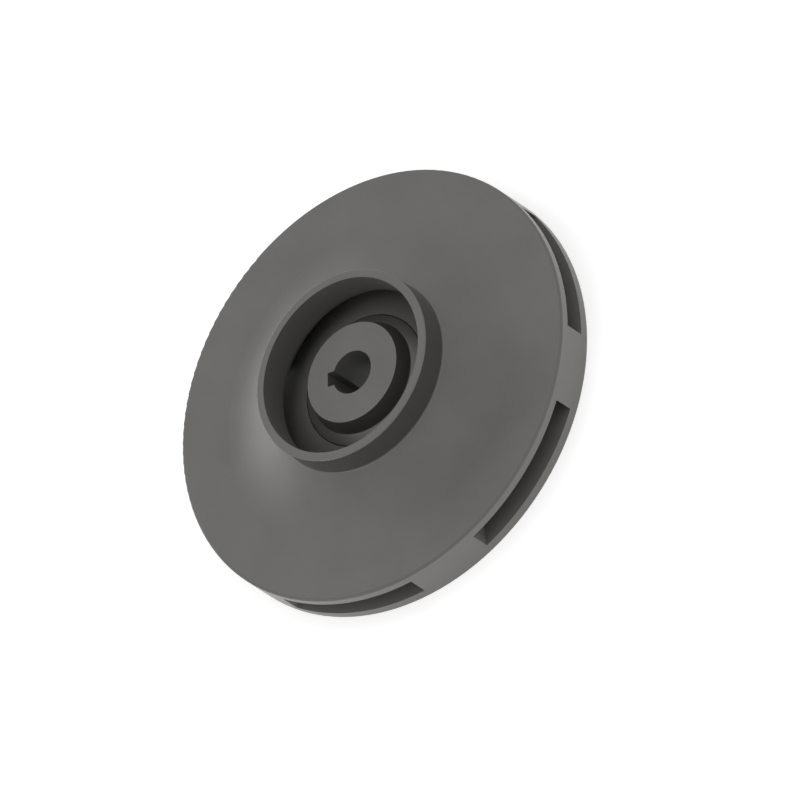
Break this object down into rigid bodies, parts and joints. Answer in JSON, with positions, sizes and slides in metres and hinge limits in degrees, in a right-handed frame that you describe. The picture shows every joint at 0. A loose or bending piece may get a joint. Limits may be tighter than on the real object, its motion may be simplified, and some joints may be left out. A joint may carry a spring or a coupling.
{
  "type": "pump impeller",
  "caption": "Closed radial pump impeller: curved vanes between two shrouds, a raised eye ring and a keyed hub bore.",
  "frame": {"origin": "centre of the back face, on the shaft axis", "axes": "+Z along the shaft axis and out of the eye; the keyway lies on +Y"},
  "size_m": [0.24, 0.24, 0.0499],
  "materials": {
    "cast_iron": "smooth as-cast, machined on the ring, rim, hub and back"
  },
  "bodies": {
    "root": {"impeller": "cast_iron"}
  },
  "joints": []
}
